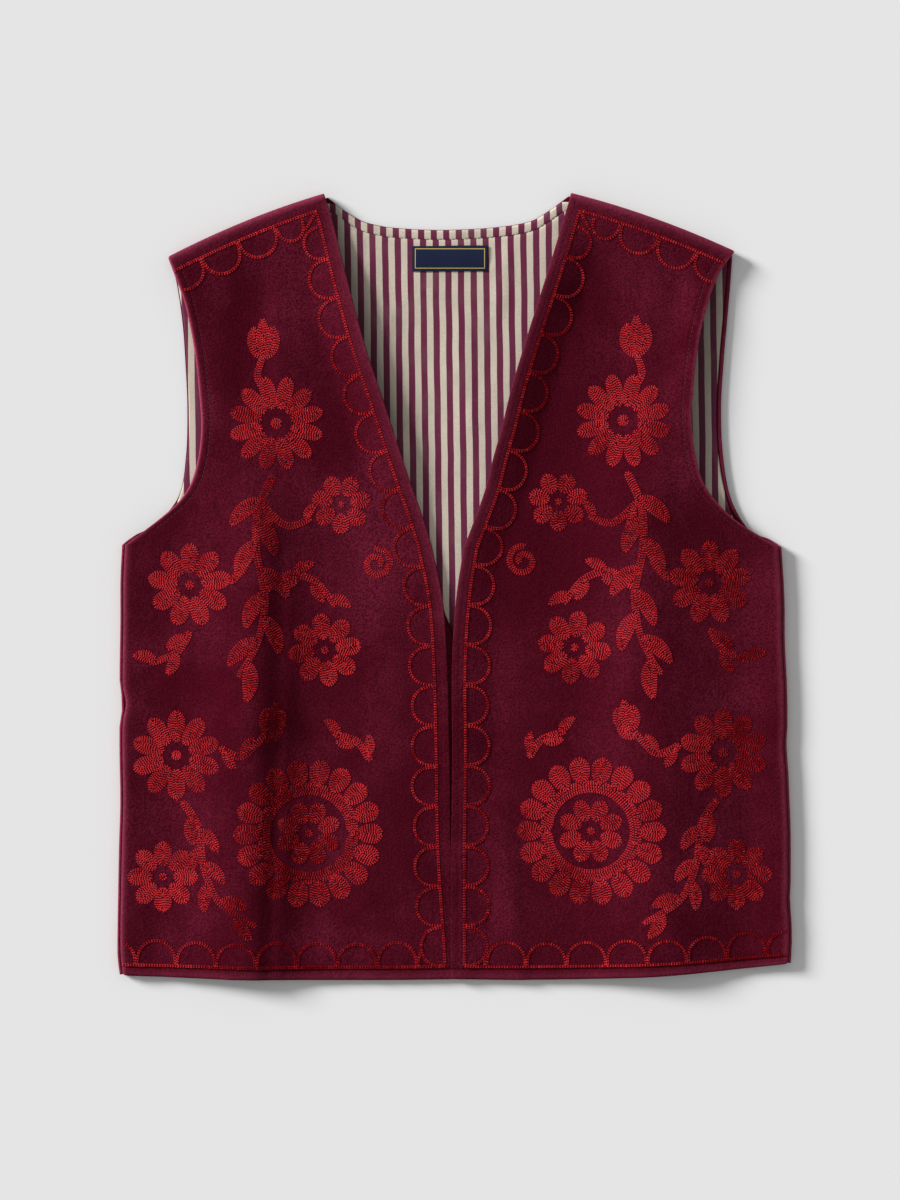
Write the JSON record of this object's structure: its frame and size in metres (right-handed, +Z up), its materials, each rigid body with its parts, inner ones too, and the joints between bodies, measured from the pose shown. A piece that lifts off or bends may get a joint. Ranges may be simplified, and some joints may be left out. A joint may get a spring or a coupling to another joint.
{
  "type": "embroidered waistcoat",
  "caption": "Collarless sleeveless waistcoat of dark plum velvet with crimson chain-stitch embroidery and a striped lining, lying flat on its back.",
  "frame": {"origin": "centre of the waistcoat's box in plan, on the surface it lies on", "axes": "+X to the viewer's right, which is the wearer's left side; +Y from the hem towards the neck; +Z up from the surface"},
  "size_m": [0.5004, 0.582, 0.012],
  "materials": {
    "velvet": "matt pile with crimson chain-stitch embroidery",
    "striped_lining": "smooth woven plum and cream stripes",
    "label_tape": "close satin weave"
  },
  "bodies": {
    "root": {"back_panel": "velvet", "back_lining": "striped_lining", "right_front": "velvet", "left_front": "velvet", "neck_label": "label_tape"}
  },
  "joints": []
}
